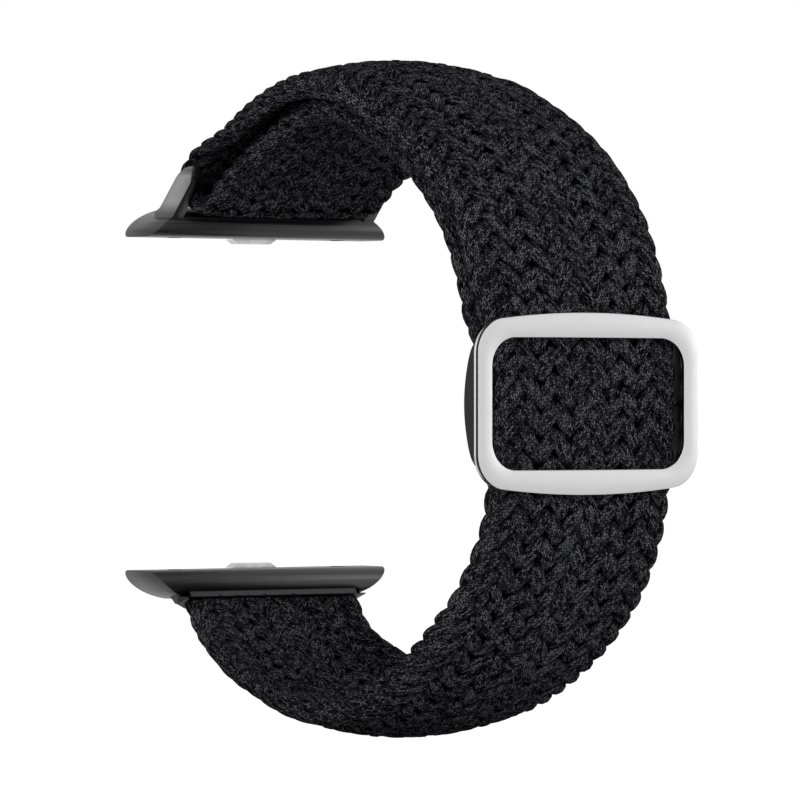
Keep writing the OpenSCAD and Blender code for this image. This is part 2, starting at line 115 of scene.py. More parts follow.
class BraidSettings(bpy.types.PropertyGroup):
    """Sizes of the braid"""

    strands: IntProperty(name="Strands", description="Cords in the braid", default=23, min=5)
    column: length_setting("Column pitch", "Between crossing columns, across the braid", 1.045)
    stripe: length_setting(
        "Crossing width", "A quarter of the way to where the cords cross alike again", 1.15,
    )
    pitch: length_setting("Cord pitch", "Between neighbouring cords along the braid, at the slider", 2.95)
    poke: length_setting("Edge loops", "How far the cords stand out where they turn at the edges", 0.35)
    rise: length_setting("Rise", "How far a cord rises over and dips under its neighbours", 0.52)
    cord_width: length_setting("Cord width", "Width of one cord in the braid's plane", 2.25)
    cord_height: length_setting("Cord thickness", "Thickness of one cord", 1.25)
    rings: FloatProperty(
        name="Rings", description="Rings along each cord for one pitch", default=6.6, min=3.0,
    )
    edge_swell: FloatProperty(
        name="Edge swell", description="How much thicker the braid is at its edges",
        default=0.75, min=0.0, max=1.5, subtype="FACTOR",
    )
    fold_w: length_setting("Width at the fold", "Width of the braid round the cross bar", 25.4)
    edge_w: length_setting("Width at the lugs", "Width of the braid at the lugs", 24.6)
    slider_w: length_setting("Width at the slider", "Width of the braid at the slider and below it", 26.7)
    shoulder_w: length_setting(
        "Width at the shoulder", "Width of the braid round the upper shoulder", 27.2,
    )
    inner_w: length_setting(
        "Width of the return run", "Width of the return run behind the outer run", 25.0,
    )
    return_w: length_setting(
        "Width at the ferrule", "Width of the return run where it enters the ferrule", 23.0,
    )
    arch: length_setting("Arch", "How far the braid arches across its width", 1.5)
    pull: length_setting("Pull", "How far the braid is pulled to one side below the slider", 0.8)
    lean: length_setting("Lean", "How far the lower shoulder sits to one side", 0.4)
    colour: colour_setting("Cord colour", "Colour of the knitted cords", (0.022, 0.022, 0.024))


class LoopSettings(bpy.types.PropertyGroup):
    """Sizes of the loop that the braid follows"""

    reach: length_setting("Reach", "From the rails to the braid's outer face at the slider", 62.75)
    near_r: length_setting("Near radius", "Radius of the outer face behind the slider", 42.6)
    near_half: angle_setting("Near half angle", "Half angle of the arc behind the slider", 31)
    upper_r: length_setting("Upper shoulder radius", "Radius of the outer face at the upper shoulder", 34)
    lower_r: length_setting(
        "Lower shoulder radius", "Radius of the outer face at the lower shoulder", 32.5,
    )
    side_end: angle_setting("Shoulder end", "Angle where the shoulders end", 80)
    join_r: length_setting("Join radius", "Radius of the bend where the runs meet", 18)
    slope: angle_setting("Return slope", "Slope of the return run at the cross bar", 32.5)
    thickness: length_setting("Thickness", "Thickness of the braid in the middle", 2.3)
    gap: length_setting("Layer gap", "Gap between the two runs", 0.3)
    slack: length_setting("Slack", "How far the fold hangs below the cross bar", 0.7)
    ferrule_end: angle_setting("Ferrule end", "Angle where the return run enters the ferrule", 6.6)


class MetalSettings(bpy.types.PropertyGroup):
    """Colours and edges of the metal pieces"""

    frame_colour: colour_setting("Slider frame", "Colour of the slider frame", (0.47, 0.47, 0.47))
    upper_colour: colour_setting("Upper lug", "Colour of the upper lug", (0.2, 0.2, 0.2))
    lower_colour: colour_setting("Lower lug", "Colour of the lower lug", (0.05, 0.05, 0.051))
    steel_colour: colour_setting(
        "Small parts", "Colour of the latches, pins and screws", (0.55, 0.55, 0.55),
    )
    edge: length_setting("Edge rounding", "Rounding on the edges of the metal pieces", 0.1)


class StageSettings(bpy.types.PropertyGroup):
    """Camera and light"""

    distance: length_setting("Camera distance", "From the loop's axis to the camera", 700)
    turn: angle_setting("Camera turn", "How far the camera stands to the left of the slider", 36)
    lens: FloatProperty(name="Lens", description="Focal length in millimetres", default=270.0, min=20.0)
    light: FloatProperty(
        name="Light", description="Strength of all the lamps together", default=1.0, min=0.0,
    )


# Node helpers


class Nodes:
    """Adds nodes to a tree and links their sockets."""

    def __init__(self, tree):
        self.tree = tree
        self.count = 0

    def add(self, kind, props=None, **inputs):
        node = self.tree.nodes.new(kind)
        node.location = (200 * (self.count % 12), -260 * (self.count // 12))
        self.count += 1
        for key, value in (props or {}).items():
            setattr(node, key, value)
        self.fill(node, **inputs)
        return node

    def fill(self, node, **inputs):
        for key, value in inputs.items():
            self.put(node, key, value)

    def put(self, node, key, value):
        if isinstance(key, str):
            key = key.replace("_", " ")
            socket = next(s for s in node.inputs if s.name == key and s.enabled)
        else:
            socket = node.inputs[key]
        if isinstance(value, bpy.types.NodeSocket):
            self.tree.links.new(value, socket)
        else:
            socket.default_value = value

    def math(self, operation, *values, clamp=False):
        node = self.add("ShaderNodeMath", {"operation": operation, "use_clamp": clamp})
        for i, value in enumerate(values):
            self.put(node, i, value)
        return node.outputs[0]

    def times(self, first, *others):
        for value in others:
            first = self.math("MULTIPLY", first, value)
        return first

    def plus(self, first, *others):
        for value in others:
            first = self.math("ADD", first, value)
        return first

    def minus(self, a, b):
        return self.math("SUBTRACT", a, b)

    def over(self, a, b):
        return self.math("DIVIDE", a, b)

    def size(self, a):
        return self.math("ABSOLUTE", a)

    def vector(self, operation, *values):
        node = self.add("ShaderNodeVectorMath", {"operation": operation})
        for i, value in enumerate(values):
            if operation == "SCALE" and i == 1:
                self.put(node, "Scale", value)
            else:
                self.put(node, i, value)
        return node.outputs[0]

    def xyz(self, x=0.0, y=0.0, z=0.0):
        return self.add("ShaderNodeCombineXYZ", X=x, Y=y, Z=z).outputs[0]

    def split(self, vector):
        return self.add("ShaderNodeSeparateXYZ", Vector=vector).outputs

    def coords(self):
        return self.add("ShaderNodeTexCoord").outputs["Object"]

    def facing(self):
        """X, Y and Z of the surface's direction."""
        return self.split(self.add("ShaderNodeNewGeometry").outputs["Normal"])

    def attribute(self, name, kind="Fac"):
        return self.add("ShaderNodeAttribute", {"attribute_name": name}).outputs[kind]

    def noise(self, scale, detail, **inputs):
        place = self.coords()
        node = self.add("ShaderNodeTexNoise", Vector=place, Scale=scale, Detail=detail, **inputs)
        return node.outputs[0]

    def mix_shaders(self, share, first, second):
        mix = self.add("ShaderNodeMixShader")
        for i, value in enumerate((share, first.outputs[0], second.outputs[0])):
            self.put(mix, i, value)
        return mix.outputs[0]


def add_sockets(tree, way, kind, *names):
    for name in names:
        tree.interface.new_socket(name, in_out=way, socket_type="NodeSocket" + kind)


def out(node, name):
    return next(s for s in node.outputs if s.name == name and s.enabled)


def add_object(name, data):
    obj = bpy.data.objects.new(name, data)
    bpy.context.collection.objects.link(obj)
    return obj


# Loop paths


def toward(angle):
    return Vector((-math.cos(angle), math.sin(angle)))


def angle_of(v):
    return math.atan2(v.y, -v.x)


def ramp(value, low, high):
    u = max(0.0, min(1.0, (value - low) / (high - low)))
    return u * u * (3 - 2 * u)


def ramp_degrees(angle, low, high):
    return ramp(angle, math.radians(low), math.radians(high))


def middle_height():
    """Height midway between the two rails."""
    return frame["record"]["mounts"][1]["pos_m"][2] / 2


def loop_layout(loop):
    """Centres, radii and angles of the loop in [y, z], z from the middle height."""
    mid = middle_height()
    hinge = next(j for j in frame["joints"] if j["name"] == "upper_lug_hinge")
    bar = Vector((hinge["pos_m"][1], hinge["pos_m"][2] - mid))
    half = loop.thickness / 2
    fold_out = FOLD_INSIDE + loop.thickness
    near = Vector((loop.near_r - loop.reach, 0.0))
    upper = near + (loop.near_r - loop.upper_r) * toward(loop.near_half)
    lower = near + (loop.near_r - loop.lower_r) * toward(loop.near_half)
    d = toward(loop.side_end)
    q = bar - upper - loop.upper_r * d
    top_r = (fold_out ** 2 - q.dot(q)) / (2 * (q.dot(d) + fold_out))
    top = upper + (loop.upper_r - top_r) * d
    mouth = Vector((-MOUTH_Y, mid + MOUTH_Z))
    q = mouth - lower - (loop.lower_r - half) * d
    foot_r = half - q.dot(q) / (2 * q.dot(d))
    foot = lower + (loop.lower_r - foot_r) * d
    leave = 1.5 * math.pi + loop.slope
    leave_d = Vector((-math.cos(loop.slope), math.sin(loop.slope)))
    leave_n = toward(leave)
    step = loop.thickness + loop.gap
    off = loop.join_r + FOLD_INSIDE
    q = bar + off * leave_n - top
    b = q.dot(leave_d)
    straight = math.sqrt(b * b - q.dot(q) + (top_r - step - loop.join_r) ** 2) - b
    bend = bar + off * leave_n + straight * leave_d
    return {
        "half": half, "bar": bar, "fold": FOLD_INSIDE + half, "near": near, "upper": upper,
        "lower": lower, "top": top, "top_r": top_r, "foot": foot, "foot_r": foot_r, "leave": leave,
        "leave_n": leave_n, "leave_d": leave_d, "bar_t": angle_of(bar - top),
        "mouth_t": angle_of(mouth - foot), "step": step, "bend": bend,
        "bend_t": angle_of(bend - top), "bend_end": leave - math.pi, "straight": straight,
    }


def arc_points(centre, radius, a, b, flip=1):
    """Points with their angles along an arc, left open at its start."""
    n = max(4, int(abs(b - a) * radius / STEP_LENGTH))
    points = []
    for i in range(1, n + 1):
        t = a + (b - a) * i / n
        p = centre + radius * toward(t)
        points.append((Vector((p.x, flip * p.y)), flip * t))
    return points


def run_path(loop, at):
    """Middle line of the braid from the socket round the loop and the cross bar."""
    half, mouth_t = at["half"], at["mouth_t"]
    mouth = at["foot"] + (at["foot_r"] - half) * toward(mouth_t)
    inner = mouth + Vector((math.sin(mouth_t), math.cos(mouth_t))) * 0.5 * MM
    points = [(Vector((inner.x, -inner.y)), -mouth_t), (Vector((mouth.x, -mouth.y)), -mouth_t)]
    points += arc_points(at["foot"], at["foot_r"] - half, mouth_t, loop.side_end, -1)
    points += arc_points(at["lower"], loop.lower_r - half, loop.side_end, loop.near_half, -1)
    points += arc_points(at["near"], loop.near_r - half, -loop.near_half, loop.near_half)
    points += arc_points(at["upper"], loop.upper_r - half, loop.near_half, loop.side_end)
    points += arc_points(at["top"], at["top_r"] - half, loop.side_end, at["bar_t"])
    points += arc_points(at["bar"], at["fold"], at["bar_t"], at["leave"])
    loose = []
    for p, t in points:
        turn = t - at["bar_t"]
        arriving = BAR_LIFT * ramp_degrees(turn, -22, 0) * ramp_degrees(turn, 98, 42)
        hanging = loop.slack * ramp_degrees(turn, 42, 98)
        loose.append((p + toward(t) * (arriving + hanging + lift_at(t)), t))
    return loose


def return_path(loop, at):
    """Middle line of the braid from the cross bar back to the ferrule."""
    off = at["step"] + at["half"]
    start = at["bar"] + at["leave_n"] * at["fold"]
    n = int(at["straight"] / STEP_LENGTH)
    points = []
    for i in range(n + 1):
        run = at["straight"] * i / n
        slack = loop.slack * ramp(run, 11 * MM, 0.0)
        points.append((start + at["leave_d"] * run + at["leave_n"] * slack, at["bend_end"]))
    points += arc_points(at["bend"], loop.join_r - at["half"], at["bend_end"], at["bend_t"])
    points += arc_points(at["top"], at["top_r"] - off, at["bend_t"], loop.side_end)
    points += arc_points(at["upper"], loop.upper_r - off, loop.side_end, loop.near_half)
    points += arc_points(at["near"], loop.near_r - off, loop.near_half, loop.ferrule_end)
    lifts = [lift_at(t) * ramp_degrees(t, 121, 100) for _, t in points]
    return [(p + toward(t) * lift, t) for (p, t), lift in zip(points, lifts)]


def end_of(at, t):
    return at["bar_t"] if t > 0 else at["mouth_t"]


def fade_at(at, t):
    """Share that is left towards the braid's two ends."""
    return ramp_degrees(end_of(at, t) - abs(t), 0, 35)


def arch_at(braid, t):
    """How far the edges drop below the middle of the braid, most at the two shoulders."""
    upper, lower = 1.42 * braid.arch, 1.65 * braid.arch
    return upper * ramp_degrees(t, 25, 68) if t > 0 else lower * ramp_degrees(-t, 21, 65)


def lift_at(t):
    """How far the braid stands off its smooth path.

    It does so at the top of the loop, above the slider and beside the lower socket.
    """
    top = ramp_degrees(t, 64, 80) * ramp_degrees(t, 112, 92)
    front = ramp_degrees(t, 6, 18) * ramp_degrees(t, 38, 26)
    mouth = ramp_degrees(-t, 112, 126) * ramp_degrees(-t, 146, 138)
    return (0.4 * top + 0.2 * front + 0.35 * mouth) * MM


def pull_at(t):
    """Share of the sideways pull below the slider."""
    return ramp_degrees(t, 20, 2) * (1 - ramp_degrees(-t, 13, 38))


def turns_of(braid, points):
    """Cord pitches run through at each point.

    The cords are packed closer at the upper shoulder and at the lower socket.
    """
    turns = [0.0]
    for (a, _), (b, t) in zip(points, points[1:]):
        shoulder = ramp_degrees(t, 70, 105) * ramp_degrees(t, 135, 115)
        crowd = 0.24 * shoulder + 0.2 * ramp_degrees(t, -115, -140)
        turns.append(turns[-1] + (b - a).length / (braid.pitch * (1 - crowd)))
    return turns


def run_shapes(braid, at, points):
    """Width, arch, sideways shift and edge swell of the outer run at each point."""
    shapes = []
    for _, t in points:
        fade = fade_at(at, t)
        pull = pull_at(t)
        low = ramp_degrees(-t, 10, 20) * ramp_degrees(-t, 90, 65)
        broad = braid.slider_w + (braid.shoulder_w - braid.slider_w) * ramp_degrees(t, 32, 44)
        broad -= 0.5 * braid.lean * low
        end_w = braid.fold_w if t > 0 else braid.edge_w
        width = end_w + (broad - end_w) * fade - NARROWING * braid.pull * pull
        to_end = end_of(at, t) - abs(t)
        flatten = ramp_degrees(to_end, 0, 16) if t > 0 else fade
        swell = ramp_degrees(to_end, 6, 20) * (0.5 + 0.5 * ramp_degrees(abs(t), 31, 40))
        shift = braid.pull * pull + braid.lean * low
        shapes.append((width, arch_at(braid, t) * flatten, shift, swell))
    return shapes


def return_shapes(braid, loop, points):
    """Width, arch, sideways shift and edge swell of the return run at each point."""
    shapes = []
    run = 0.0
    last = points[0][0]
    for p, t in points:
        run += (p - last).length
        last = p
        full = braid.fold_w + (braid.inner_w - braid.fold_w) * ramp(run, 0.0, 15 * MM)
        width = braid.return_w + (full - braid.return_w) * ramp(t, loop.ferrule_end, math.radians(15))
        arch = arch_at(braid, t) * ramp(run, 3 * MM, 22 * MM)
        swell = ramp(run, 3 * MM, 10 * MM) * ramp(t, loop.ferrule_end, math.radians(14))
        shapes.append((width, arch, 0.0, swell))
    return shapes


# Materials


def new_material(name):
    """Material with one shader on its output, and the helper that adds its nodes."""
    material = bpy.data.materials.new(name)
    material.use_nodes = True
    material.node_tree.nodes.clear()
    nodes = Nodes(material.node_tree)
    shader = nodes.add("ShaderNodeBsdfPrincipled")
    output = nodes.add("ShaderNodeOutputMaterial")
    material.node_tree.links.new(shader.outputs[0], output.inputs[0])
    return material, nodes, shader


def satin_group():
    """Fine directional grain for satin metal."""
    group = bpy.data.node_groups.get("satin_grain")
    if group:
        return group
    group = bpy.data.node_groups.new("satin_grain", "ShaderNodeTree")
    values = ("Roughness", "Variation", "Along X", "Along Y", "Along Z", "Bump")
    add_sockets(group, "INPUT", "Float", *values)
    add_sockets(group, "OUTPUT", "Float", "Roughness")
    add_sockets(group, "OUTPUT", "Vector", "Normal")
    n = Nodes(group)
    gi = n.add("NodeGroupInput")
    go = n.add("NodeGroupOutput")
    scale = n.xyz(gi.outputs["Along X"], gi.outputs["Along Y"], gi.outputs["Along Z"])
    place = n.vector("MULTIPLY", n.coords(), scale)
    grain = n.add("ShaderNodeTexNoise", Vector=place, Scale=1.0, Detail=4.0, Roughness=0.6)
    patch = n.noise(180.0, 2.0)
    mixed = n.plus(n.times(grain.outputs[0], 0.75), n.times(patch, 0.25))
    swing = n.times(n.minus(mixed, 0.5), gi.outputs["Variation"])
    rough = n.math("ADD", gi.outputs[0], n.times(swing, 2.0), clamp=True)
    deep, height = gi.outputs["Bump"], grain.outputs[0]
    bump = n.add("ShaderNodeBump", Strength=deep, Distance=0.02 * MM, Height=height)
    group.links.new(rough, go.inputs[0])
    group.links.new(bump.outputs[0], go.inputs[1])
    return group


def grained_metal(name, roughness, variation, grain=(60.0, 900.0, 900.0), bump=0.15):
    """Bare metal, still without a colour; grain holds the three scales along X, Y and Z."""
    material, n, shader = new_material(name)
    group = n.add("ShaderNodeGroup", {"node_tree": satin_group()})
    for i, value in enumerate((roughness, variation, *grain, bump)):
        group.inputs[i].default_value = value
    n.fill(shader, Metallic=1.0, Roughness=group.outputs[0], Normal=group.outputs[1])
    return material, n, shader


def darker(colour, share):
    return tuple(c * share for c in colour)


def satin_metal(name, colour, *finish):
    """Satin metal with slightly darker blotches."""
    material, n, shader = grained_metal(name, *finish)
    clean = step_up(n, n.noise(420.0, 3.0), 0.35, 0.65)
    n.put(shader, "Base Color", blend_colour(n, clean, darker(colour, 0.8), colour))
    return material


def rough_plastic(name, dark, light, scale, roughness, bump):
    """Matt plastic or rubber with a fine pebbled surface."""
    material, n, shader = new_material(name)
    pebbles = n.add("ShaderNodeTexVoronoi", Vector=n.coords(), Scale=scale).outputs["Distance"]
    cloud = n.noise(scale * 0.3, 3.0)
    n.put(shader, "Base Color", blend_colour(n, cloud, dark, light))
    n.put(shader, "Roughness", n.plus(roughness, n.times(cloud, 0.25)))
    n.put(shader, "Specular IOR Level", 0.3)
    height = n.plus(pebbles, cloud)
    relief = n.add("ShaderNodeBump", Strength=bump, Distance=0.05 * MM, Height=height)
    n.put(shader, "Normal", relief.outputs[0])
    return material


def socket_metal(name, colour):
    """Satin metal with painted shade on the socket's lip, beside the braid."""
    material, n, shader = grained_metal(name, 0.42, 0.08)
    y, z = n.split(n.coords())[1:]
    # painted shade on the lip beside the braid
    lip = n.times(step_up(n, z, -0.4 * MM, -0.9 * MM), step_up(n, y, -2.1 * MM, -2.6 * MM))
    n.put(shader, "Base Color", blend_colour(n, lip, colour, darker(colour, 0.2)))
    return material


def clip_metal(name, colour):
    """Satin sheet with painted shade at its mouth, where the braid goes in."""
    material, n, shader = grained_metal(name, 0.36, 0.12, (70.0, 600.0, 600.0), 0.3)
    y = n.split(n.coords())[1]
    # painted shade at the mouth, where the braid goes in
    mouth = step_up(n, y, -2.6 * MM, -3.2 * MM)
    n.put(shader, "Base Color", blend_colour(n, mouth, colour, darker(colour, 0.14)))
    return material


def blend_colour(n, factor, a, b):
    mix = n.add("ShaderNodeMix", {"data_type": "RGBA"})
    n.put(mix, 0, factor)
    for socket, value in ((6, a), (7, b)):
        if isinstance(value, bpy.types.NodeSocket):
            n.put(mix, socket, value)
        else:
            mix.inputs[socket].default_value = (*value, 1.0)
    return mix.outputs[2]


def step_up(n, value, low, high):
    """Smooth step from zero at low to one at high."""
    kind = {"interpolation_type": "SMOOTHSTEP"}
    return n.add("ShaderNodeMapRange", kind, Value=value, From_Min=low, From_Max=high).outputs[0]


def frame_material(colour):
    """Satin front with polished sides: those facing left and right get a painted dark reflection, broken by a
    painted glint line where the bevel meets the side.
    """
    material, n, shader = grained_metal("frame_satin", 0.5, 0.05, (500.0, 500.0, 500.0), 0.1)
    rough = shader.inputs["Roughness"].links[0].from_socket
    normal = n.facing()
    off_front = n.minus(1.0, step_up(n, n.size(normal[1]), 0.8, 0.97))
    # painted dark reflection on the sides that face left and right
    dark = n.times(off_front, step_up(n, n.size(normal[0]), 0.15, 0.55))
    y = n.split(n.coords())[1]
    # painted glint: a thin band of the side wall, by depth, keeps the light colour
    begins = step_up(n, y, -63.05 * MM, -62.97 * MM)
    ends = step_up(n, y, -62.68 * MM, -62.76 * MM)
    dark = n.times(dark, n.minus(1.0, n.times(begins, ends)))
    n.put(shader, "Base Color", blend_colour(n, dark, colour, (0.02, 0.02, 0.021)))
    n.put(shader, "Roughness", n.minus(rough, n.times(off_front, 0.25)))
    return material


def lug_material(name, colour, dark, roughness, side):
    """Brushed lug with painted shade: the bar, the inner faces and the rail's end get the dark colour, and only
    the outer face on each arm keeps the lighter colour.
    """
    material, n, shader = grained_metal(name, roughness, 0.08)
    facing = n.facing()[0]
    place = n.split(n.coords())
    outermost = step_up(n, n.size(place[0]), side - 0.6 * MM, side)
    # only the outer face of each arm, above the rail's end, keeps the lug's colour; all else gets painted shade
    arm = n.times(step_up(n, n.size(facing), 0.5, 0.9), outermost)
    arm = n.times(arm, step_up(n, place[2], 42.5 * MM, 44.2 * MM))
    n.put(shader, "Base Color", blend_colour(n, arm, dark, colour))
    return material


def knit_group():
    """Knitted cover: rows of slanted stitches that meet in a V, each with its own tone."""
    group = bpy.data.node_groups.new("knit_cover", "ShaderNodeTree")
    add_sockets(group, "INPUT", "Float", "Stitch", "Slant", "Legs")
    add_sockets(group, "OUTPUT", "Float", "Height", "Tone")
    n = Nodes(group)
    gi = n.add("NodeGroupInput")
    go = n.add("NodeGroupOutput")
    length = n.attribute("cord_length")
    cord = n.attribute("cord")
    ring = n.split(n.attribute("ring", "Vector"))
    round_angle = n.over(n.math("ARCTAN2", ring[1], ring[0]), 2 * math.pi)
    legs = n.times(n.plus(round_angle, 0.5), gi.outputs["Legs"])
    slant = n.times(n.math("PINGPONG", legs, 1.0), gi.outputs["Slant"])
    rows = n.plus(n.over(length, gi.outputs["Stitch"]), slant)
    leg = n.size(n.math("SINE", n.times(legs, math.pi)))
    row = n.size(n.math("SINE", n.times(rows, math.pi)))
    height = n.times(n.math("POWER", leg, 0.5), n.math("POWER", row, 0.8))
    cell = n.xyz(n.math("FLOOR", legs), n.math("FLOOR", rows), cord)
    tone = n.add("ShaderNodeTexWhiteNoise", {"noise_dimensions": "3D"}, Vector=cell).outputs["Value"]
    group.links.new(height, go.inputs["Height"])
    group.links.new(tone, go.inputs["Tone"])
    return group


def cord_material(colour):
    """Knitted black cord with painted light: light strokes on the stitch tops and crowns as painted highlights,
    and painted shade, near black, between the cords and on their sides.
    """
    material, n, shader = new_material("knitted_cord")
    group = {"node_tree": knit_group()}
    knit = n.add("ShaderNodeGroup", group, Stitch=0.4 * MM, Slant=0.85, Legs=26.0)
    fuzz = n.noise(4200.0, 2.0, Roughness=0.6)
    patch = n.noise(300.0, 2.0)
    relief = n.attribute("relief")
    height = n.plus(n.times(knit.outputs["Height"], 0.8), n.times(fuzz, 0.35))
    bump = n.add("ShaderNodeBump", Strength=0.9, Distance=0.12 * MM, Height=height)
    swing = n.times(n.minus(fuzz, 0.5), 1.6)
    tone = n.plus(n.times(knit.outputs["Tone"], 1.2), swing, 0.05)
    # painted highlight and shade at stitch scale: brightness follows the stitch height, times a random tone for
    # each stitch
    share = n.math("MULTIPLY", knit.outputs["Height"], tone, clamp=True)
    share = n.math("POWER", share, 1.7)
    lightest = tuple(c * 5.7 for c in colour)
    stitches = blend_colour(n, share, darker(colour, 0.06), lightest)
    # painted shade from the relief attribute: near black where a cord dips between its neighbours, darker where it
    # faces sideways
    crown = n.plus(0.06, n.times(step_up(n, relief, 0.4, 0.88), 0.94))
    shade = n.add("ShaderNodeMix", {"data_type": "RGBA", "blend_type": "MULTIPLY"})
    n.put(shade, 0, 1.0)
    n.put(shade, 6, stitches)
    n.put(shade, 7, n.times(crown, n.plus(0.65, n.times(patch, 0.7))))
    n.fill(shader, Base_Color=shade.outputs[2], Normal=bump.outputs[0])
    n.fill(shader, Roughness=0.85, Specular_IOR_Level=0.0)
    return material


def seen_directly(n):
    """One for rays from the camera, or by way of metal or glass, else zero."""
    path = n.add("ShaderNodeLightPath")
    mirrored = n.math("MAXIMUM", path.outputs["Is Glossy Ray"], path.outputs["Is Transmission Ray"])
    return n.math("MAXIMUM", path.outputs["Is Camera Ray"], mirrored)


def core_material():
    """Near-black sheet between the two faces of the braid, painted shade where it shows through the gaps between
    the cords.
    """
    material, n, shader = new_material("braid_core")
    dark, light = (0.001, 0.001, 0.001), (0.003, 0.003, 0.003)
    n.put(shader, "Base Color", blend_colour(n, n.noise(2500.0, 2.0), dark, light))
    n.fill(shader, Roughness=1.0, Specular_IOR_Level=0.05)
    return material


# Braid


def sample_path(n, path, name, length):
    """Node that reads the path's attribute, place and direction at a length along it."""
    attribute = n.add("GeometryNodeInputNamedAttribute", {"data_type": "FLOAT"}, Name=name)
    field = out(attribute, "Attribute")
    kind = {"mode": "LENGTH"}
    return n.add("GeometryNodeSampleCurve", kind, Curves=path, Value=field, Length=length)


def store(n, geometry, name, value, data_type="FLOAT"):
    """Geometry with a value stored on its points."""
    kind = {"data_type": data_type, "domain": "POINT"}
    node = n.add("GeometryNodeStoreNamedAttribute", kind, Geometry=geometry, Name=name, Value=value)
    return node.outputs[0]


def braid_tree():
    """Node tree that lays a flat braid of cords and bends it along a path."""
    tree = bpy.data.node_groups.new("flat_braid", "GeometryNodeTree")
    add_sockets(tree, "INPUT", "Geometry", "Path")
    add_sockets(tree, "INPUT", "Int", "Strands", "Sides")
    sizes = (
        "Column", "Pitch", "Rise", "Cord Width", "Cord Thickness", "Edge Swell", "Rings",
        "Start", "Core Width", "Full Width", "Outward", "Poke", "Stripe",
    )
    add_sockets(tree, "INPUT", "Float", *sizes)
    add_sockets(tree, "INPUT", "Material", "Cord", "Core")
    add_sockets(tree, "OUTPUT", "Geometry", "Braid")
    n = Nodes(tree)
    gi = n.add("NodeGroupInput").outputs
    go = n.add("NodeGroupOutput")

    path = n.add("GeometryNodeMeshToCurve", Mesh=gi["Path"]).outputs[0]
    length = n.add("GeometryNodeCurveLength", Curve=path).outputs[0]
    count = n.math("CEIL", n.times(n.over(length, gi["Pitch"]), gi["Rings"]))
    end = n.xyz(0.0, length, 0.0)
    line = n.add("GeometryNodeCurvePrimitiveLine", Start=(0, 0, 0), End=end).outputs[0]
    line = n.add("GeometryNodeResampleCurve", Curve=line, Count=count).outputs[0]
    whole = {"domain": "SPLINE"}
    copies = n.add("GeometryNodeDuplicateElements", whole, Geometry=line, Amount=gi["Strands"])
    k = out(copies, "Duplicate Index")
    s = out(n.add("GeometryNodeSplineParameter"), "Length")
    cords = store(n, copies.outputs[0], "cord", k)

    # a cord swings across the braid and back once in a full turn
    edge_round, edge_ease, sharp, edge_drop = 0.9965, 0.012, 1.5, 0.22
    turns = out(sample_path(n, path, "turns", s), "Value")
    turn = n.over(n.plus(turns, gi["Start"], k), gi["Strands"])
    angle = n.times(turn, 2 * math.pi)
    sine, cosine = n.math("SINE", angle), n.math("COSINE", angle)
    half = n.times(gi["Strands"], gi["Column"], 0.5)
    swing = n.over(n.math("ARCSINE", n.times(sine, edge_round)), math.pi / 2)
    x = n.times(half, swing)
    turning = step_up(n, n.size(swing), 0.8, EDGE_REACH)
    poke = n.times(turning, gi["Poke"], n.math("SIGN", swing))
    way = n.over(cosine, n.math("SQRT", n.plus(n.times(cosine, cosine), edge_ease)))
    column = n.plus(n.over(x, gi["Stripe"]), 1.0)
    over = n.math("COSINE", n.times(column, math.pi / 2))
    soft = n.math(
        "DIVIDE", n.times(over, math.sqrt(1 + sharp * sharp)),
        n.math("SQRT", n.plus(1.0, n.times(over, over, sharp * sharp))),
    )
    crown = n.minus(1.0, n.times(swing, swing, edge_drop))
    z = n.times(way, gi["Rise"], soft, crown)
    flat = n.xyz(n.plus(x, poke), s, z)
    cords = n.add("GeometryNodeSetPosition", Geometry=cords, Position=flat).outputs[0]
    run = out(n.add("GeometryNodeSplineParameter"), "Length")
    cords = store(n, cords, "cord_length", run)
    cords = n.add("GeometryNodeSetCurveNormal", {"mode": "Z_UP"}, Curve=cords).outputs[0]

    ring = n.add("GeometryNodeCurvePrimitiveCircle", Resolution=gi["Sides"], Radius=1.0).outputs[0]
    ring_place = n.add("GeometryNodeInputPosition").outputs[0]
    ring = store(n, ring, "ring", ring_place, "FLOAT_VECTOR")
    size = n.xyz(n.times(gi["Cord Width"], 0.5), n.times(gi["Cord Thickness"], 0.5), 1.0)
    ring = n.add("GeometryNodeTransform", Geometry=ring, Scale=size).outputs[0]
    cord_mesh = n.add("GeometryNodeCurveToMesh", Curve=cords, Profile_Curve=ring, Fill_Caps=True)
    cord_mesh = cord_mesh.outputs[0]
    # relief: share of painted shade for the cord material, low where a cord dips below its neighbours or faces
    # sideways
    flat = n.split(n.add("GeometryNodeInputPosition").outputs[0])
    top = n.plus(gi["Rise"], n.times(gi["Cord Thickness"], 0.5))
    high = n.over(n.size(flat[2]), top)
    reach = n.over(n.size(flat[0]), half)
    rim = step_up(n, reach, 0.84, 1.0)
    normal = n.split(n.add("GeometryNodeInputNormal").outputs[0])
    outer = n.times(n.size(normal[0]), step_up(n, reach, 0.8, 0.95))
    facing = step_up(n, n.math("MAXIMUM", n.size(normal[2]), outer), 0.15, 0.85)
    shown = n.times(n.math("MAXIMUM", high, rim), n.plus(0.45, n.times(facing, 0.55)))
    cord_mesh = store(n, cord_mesh, "relief", shown)
    cord_mesh = n.add("GeometryNodeSetMaterial", Geometry=cord_mesh, Material=gi["Cord"]).outputs[0]

    # near-black core sheet: painted shade behind the gaps between the cords
    rows = n.math("CEIL", n.over(length, 0.8 * MM))
    core = n.add(
        "GeometryNodeMeshGrid", Size_X=gi["Core Width"], Size_Y=length, Vertices_X=5, Vertices_Y=rows,
    ).outputs[0]
    middle = n.vector("SCALE", end, 0.5)
    core = n.add("GeometryNodeTransform", Geometry=core, Translation=middle).outputs[0]
    core = n.add("GeometryNodeSetMaterial", Geometry=core, Material=gi["Core"]).outputs[0]
    both = n.add("GeometryNodeJoinGeometry")
    tree.links.new(cord_mesh, both.inputs[0])
    tree.links.new(core, both.inputs[0])

